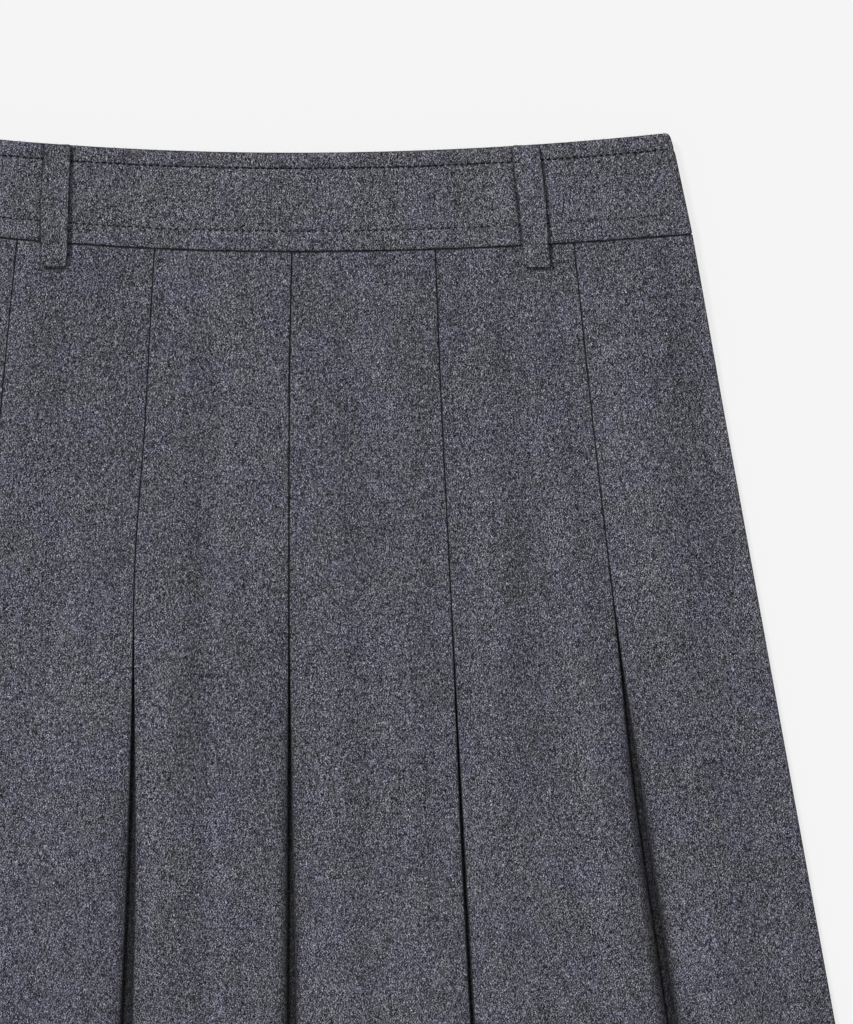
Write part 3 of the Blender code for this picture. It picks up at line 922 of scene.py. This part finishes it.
def makeZipTeeth():
    bpy.ops.object.select_all(action="DESELECT")
    bpy.ops.mesh.primitive_cube_add(size=1)
    tooth = bpy.context.object
    tooth.scale = zipper["tooth"]
    bpy.ops.object.transform_apply(location=True, rotation=True, scale=True)
    soften(tooth, zipper["toothBevel"])
    places = []
    below = zipper["start"]
    while below < zipper["end"]:
        place = zipLine(below, zipper["toothInset"])
        places.append(turnedTo(zipLine(below + zipper["pitch"], zipper["toothInset"]) - place, up, place))
        below += zipper["pitch"]
    teeth = copyShape(tooth, places, "zip_teeth")
    bpy.data.objects.remove(tooth)
    return teeth


zipPieces = [refineNode("zip_slider", "zip_slider_metal", "skirt"),
             refineNode("zip_pull", "zip_pull_metal", "pull_tab"), makeZipTeeth()]
tapePiece = makeZipTape()
print("zip made")


class Wire:
    # one output in a material, which Python's own operators can work on
    def __init__(self, finish, socket):
        self.finish, self.socket = finish, socket

    def maths(self, operation, a, b):
        return self.finish.node("ShaderNodeMath", dict(operation=operation), {0: a, 1: b})

    def __add__(self, other):
        return self.maths("ADD", self, other)

    def __sub__(self, other):
        return self.maths("SUBTRACT", self, other)

    def __mul__(self, other):
        return self.maths("MULTIPLY", self, other)

    def __pow__(self, other):
        return self.maths("POWER", self, other)

    def sine(self):
        return self.maths("SINE", self, 0.0)

    def __radd__(self, other):
        return self.maths("ADD", other, self)

    def __rsub__(self, other):
        return self.maths("SUBTRACT", other, self)

    def __rmul__(self, other):
        return self.maths("MULTIPLY", other, self)


class Finish:
    # a material, to which nodes are added one after another
    def __init__(self, name, roughness, **shaderValues):
        self.material = bpy.data.materials.new(name)
        self.material.use_nodes = True
        self.tree = self.material.node_tree
        self.shader = self.tree.nodes["Principled BSDF"]
        self.shader.inputs["Roughness"].default_value = roughness
        for socket, value in shaderValues.items():
            self.shader.inputs[socket.replace("_", " ")].default_value = value

    def node(self, kind, settings, inputs, output=0):
        node = self.tree.nodes.new(kind)
        for key, value in settings.items():
            if key == "stops":
                while len(node.color_ramp.elements) < len(value):
                    node.color_ramp.elements.new(1.0)
                for element, (place, colour) in zip(node.color_ramp.elements, value):
                    element.position, element.color = place, colour
            else:
                setattr(node, key, value)
        for key, value in inputs.items():
            if isinstance(value, Wire):
                self.tree.links.new(value.socket, node.inputs[key])
            else:
                node.inputs[key].default_value = value
        return Wire(self, node.outputs[output])

    def noise(self, vector, scale, detail=2.0, roughness=0.5, output=0):
        return self.node("ShaderNodeTexNoise", {}, {"Vector": vector, "Scale": scale, "Detail": detail,
                                                     "Roughness": roughness}, output)

    def cells(self, vector, scale):
        # small cells, each in its own shade
        return self.node("ShaderNodeTexVoronoi", dict(voronoi_dimensions="2D"),
                         {"Vector": vector, "Scale": scale}, 1)

    def stretch(self, vector, scale, turn=0.0):
        return self.node("ShaderNodeMapping", {},
                         {"Vector": vector, "Scale": scale, "Rotation": (0, 0, turn)})

    def ease(self, value, low, high):
        return self.node("ShaderNodeMapRange", dict(interpolation_type="SMOOTHSTEP"),
                         {0: value, 1: low, 2: high})

    def blend(self, factor, a, b, how="MIX"):
        return self.node("ShaderNodeMix", dict(data_type="RGBA", blend_type=how),
                         {0: factor, 6: a, 7: b}, 2)

    def bump(self, height, strength, distance):
        self.put("Normal", self.node("ShaderNodeBump", {}, {
            "Height": height, "Strength": strength, "Distance": distance}))

    def put(self, socket, wire):
        self.tree.links.new(wire.socket, self.shader.inputs[socket])

    def paint(self, *pieces):
        for piece in pieces:
            piece.data.materials.clear()
            piece.data.materials.append(self.material)


flannel = dict(
    tufts=3.0, tuftGain=0.88, fine=4.4, fineGain=0.85, fibreGain=0.3, warp=0.45, haze=0.42,
    hazeGain=0.12, weave=1.4, weaveGain=0.07, slow=0.035, slowGain=0.05, streakGain=0.15, nep=0.7,
    nepGain=0.2, hueSize=0.04, paintedShadeLevel=0.19, bumpStrength=0.4, bumpDistance=0.1 * mm,
)


def makeFlannel(name, tone, tint, tintAway):
    # dark, mid and pale wool fibres, mixed, woven and brushed; sizes are in millimetres of cloth
    wool = Finish(name, 0.92, Sheen_Weight=0.05, Sheen_Roughness=0.5, Specular_IOR_Level=0.2)
    place = wool.stretch(wool.node("ShaderNodeUVMap", dict(uv_map="weave"), {}), (1000, 1000, 1000))
    drift = wool.noise(wool.stretch(place, (1.6, 0.7, 1), 0.4), 3.0, 4.0, 0.65, 1)
    warp = [flannel["warp"]] * 3
    loose = wool.node("ShaderNodeVectorMath", dict(operation="MULTIPLY_ADD"),
                      {0: drift, 1: warp, 2: place})
    tufts = wool.cells(wool.stretch(loose, (1.9, 0.52, 1), 0.25), flannel["tufts"]) - 0.5
    fine = wool.cells(wool.stretch(loose, (0.6, 1.7, 1), 0.3), flannel["fine"]) - 0.5
    fibres = wool.noise(wool.stretch(loose, (7, 1.1, 1), 0.5), 1.0, 1.0, 0.5) - 0.5
    haze = wool.noise(place, flannel["haze"], 2.0, 0.65) - 0.5
    slow = wool.noise(place, flannel["slow"], 2.0, 0.6) - 0.5
    streaks = wool.noise(wool.stretch(place, (0.06, 0.006, 1)), 1.0, 3.0, 0.6) - 0.5
    wobble = 5 * wool.noise(place, 0.35, 1.0)
    across = wool.node("ShaderNodeSeparateXYZ", {}, {0: place})
    along = Wire(wool, across.socket.node.outputs[1])
    turn = 2 * math.pi / flannel["weave"]
    threads = (across * turn + wobble).sine() * (along * turn + wobble * 0.7).sine()
    nep = wool.ease(wool.noise(wool.stretch(place, (1, 1.6, 1), 1.1), flannel["nep"], 0.0), 0.74, 0.82)
    mixed = flannel["tuftGain"] * tufts + flannel["fineGain"] * fine + flannel["fibreGain"] * fibres
    mixed = mixed + flannel["hazeGain"] * haze + flannel["streakGain"] * streaks + flannel["slowGain"] * slow
    value = tone + mixed + flannel["weaveGain"] * threads + flannel["nepGain"] * nep
    reflected = value.maths("MAXIMUM", value, 0.06) ** 2.2
    lean = 0.3 * (1 - wool.ease(along, -20, 280))    # more of the second tint towards the hem
    hue = wool.ease(wool.noise(place, flannel["hueSize"], 2.0) + lean, 0.36, 0.68)
    colour = wool.blend(1.0, wool.blend(hue, tint, tintAway), reflected, "MULTIPLY")
    # painted shade: the colour is darkened by each point's painted shade, in folds, seams, stitched rows and
    # at edges
    hollow = wool.node("ShaderNodeAttribute", dict(attribute_name="hollow"), {}, 2)
    shade = 1 - (1 - flannel["paintedShadeLevel"]) * wool.ease(hollow * (1 + 1.2 * tufts), 0.0, 0.85)
    wool.put("Base Color", wool.blend(1.0, colour, shade, "MULTIPLY"))
    relief = tufts + fine + 1.5 * fibres + 0.8 * haze + 0.2 * threads
    wool.bump(relief, flannel["bumpStrength"], flannel["bumpDistance"])
    return wool


skirtWool = makeFlannel("skirt_flannel_wool", 0.198, (0.985, 1.0, 1.155, 1), (0.99, 0.985, 1.30, 1))
bandWool = makeFlannel("waistband_flannel_wool", 0.209, (0.985, 1.0, 1.125, 1), (0.995, 0.985, 1.27, 1))
skirtWool.paint(skirtFrontPiece, skirtBackPiece)
bandWool.paint(*bandPieces, *loopPieces)


def makeSpeckled(name, roughness, scale, detail, stops, **shaderValues):
    # a finish whose colour wanders between two shades, and the noise that it follows
    finish = Finish(name, roughness, **shaderValues)
    tone = finish.noise(finish.node("ShaderNodeTexCoord", {}, {}, 3), scale, detail)
    finish.put("Base Color", finish.node("ShaderNodeValToRGB", dict(stops=stops), {"Fac": tone}))
    return finish, tone


threadFinish, _ = makeSpeckled("thread_dark", 0.9, 900.0, 1.0, [
    (0.3, (0.004, 0.004, 0.005, 1)), (0.7, (0.014, 0.014, 0.017, 1))], Specular_IOR_Level=0.05)
threadFinish.paint(*seamPieces, tapePiece)
for piece, name, dark, pale in (
        (fuzzPiece, "loose_wool", (0.05, 0.05, 0.06, 1), (0.16, 0.16, 0.18, 1)),
        (lintPiece, "pale_wool", (0.32, 0.32, 0.32, 1), (0.62, 0.61, 0.58, 1)),
        (fleckPiece, "straw", (0.42, 0.34, 0.22, 1), (0.6, 0.52, 0.38, 1))):
    makeSpeckled(name, 0.85, 150.0, 1.0, [(0.4, dark), (0.6, pale)], Specular_IOR_Level=0.2)[0].paint(piece)
zipFinish, wear = makeSpeckled("zip_painted_metal", 0.45, 700.0, 3.0, [
    (0.35, (0.06, 0.061, 0.068, 1)), (0.75, (0.09, 0.092, 0.1, 1))], Metallic=0.85)
zipFinish.put("Roughness", 0.28 + 0.2 * wear)
zipFinish.paint(*zipPieces)
print("finishes made")

studio = dict(
    world=0.45, backdrop=0.91, sun=2.54, sunAngle=14, sunElevation=50, sunAzimuth=142, floor=40,
    floorGlow=0.785, floorColour=0.12,
    lens=100, sensor=36, distance=1.308, aimHeight=8 * mm, aimX=61.4 * mm, aimBelow=119.4 * mm,
)

bpy.ops.object.select_all(action="DESELECT")
bpy.ops.mesh.primitive_plane_add(size=studio["floor"] * 2, location=(0, 0, -0.2 * mm))
floor = bpy.context.object
floor.name = "floor"
floorFinish = Finish("floor_plain", 0.9, Specular_IOR_Level=0.0, Emission_Strength=studio["floorGlow"],
                     Emission_Color=(1, 1, 1, 1))
floorFinish.shader.inputs["Base Color"].default_value = [studio["floorColour"]] * 3 + [1]
floorFinish.paint(floor)

scene = bpy.context.scene
scene.view_settings.view_transform = "Standard"
world = bpy.data.worlds.new("studio")
scene.world = world
world.use_nodes = True
backdrop = world.node_tree.nodes["Background"]
seen = world.node_tree.nodes.new("ShaderNodeLightPath")
level = world.node_tree.nodes.new("ShaderNodeMix")
level.inputs[2].default_value, level.inputs[3].default_value = studio["world"], studio["backdrop"]
world.node_tree.links.new(seen.outputs["Is Camera Ray"], level.inputs[0])
world.node_tree.links.new(level.outputs[0], backdrop.inputs["Strength"])
backdrop.inputs["Color"].default_value = (1, 1, 1, 1)

sunLight = bpy.data.lights.new("key", "SUN")
sunLight.energy, sunLight.angle = studio["sun"], math.radians(studio["sunAngle"])
sun = addObject("key", sunLight)
elevation, azimuth = math.radians(studio["sunElevation"]), math.radians(studio["sunAzimuth"])
towardSun = Vector((math.cos(elevation) * math.cos(azimuth), math.cos(elevation) * math.sin(azimuth),
                    math.sin(elevation)))
sun.rotation_euler = towardSun.to_track_quat("Z", "Y").to_euler()

cameraData = bpy.data.cameras.new("camera")
cameraData.lens, cameraData.sensor_width, cameraData.sensor_fit = studio["lens"], studio["sensor"], "AUTO"
camera = addObject("camera", cameraData)
camera.location = (studio["aimX"], seamY - studio["aimBelow"], studio["aimHeight"] + studio["distance"])
scene.camera = camera
print("studio set")


def cutArea(piece):
    # the cloth's own area: half the area of its closed shell
    return sum(face.area for face in piece.data.polygons) / 2


print("cloth areas:", [(piece.name, round(cutArea(piece), 4))
                       for piece in [skirtFrontPiece, skirtBackPiece, *bandPieces, *loopPieces]])
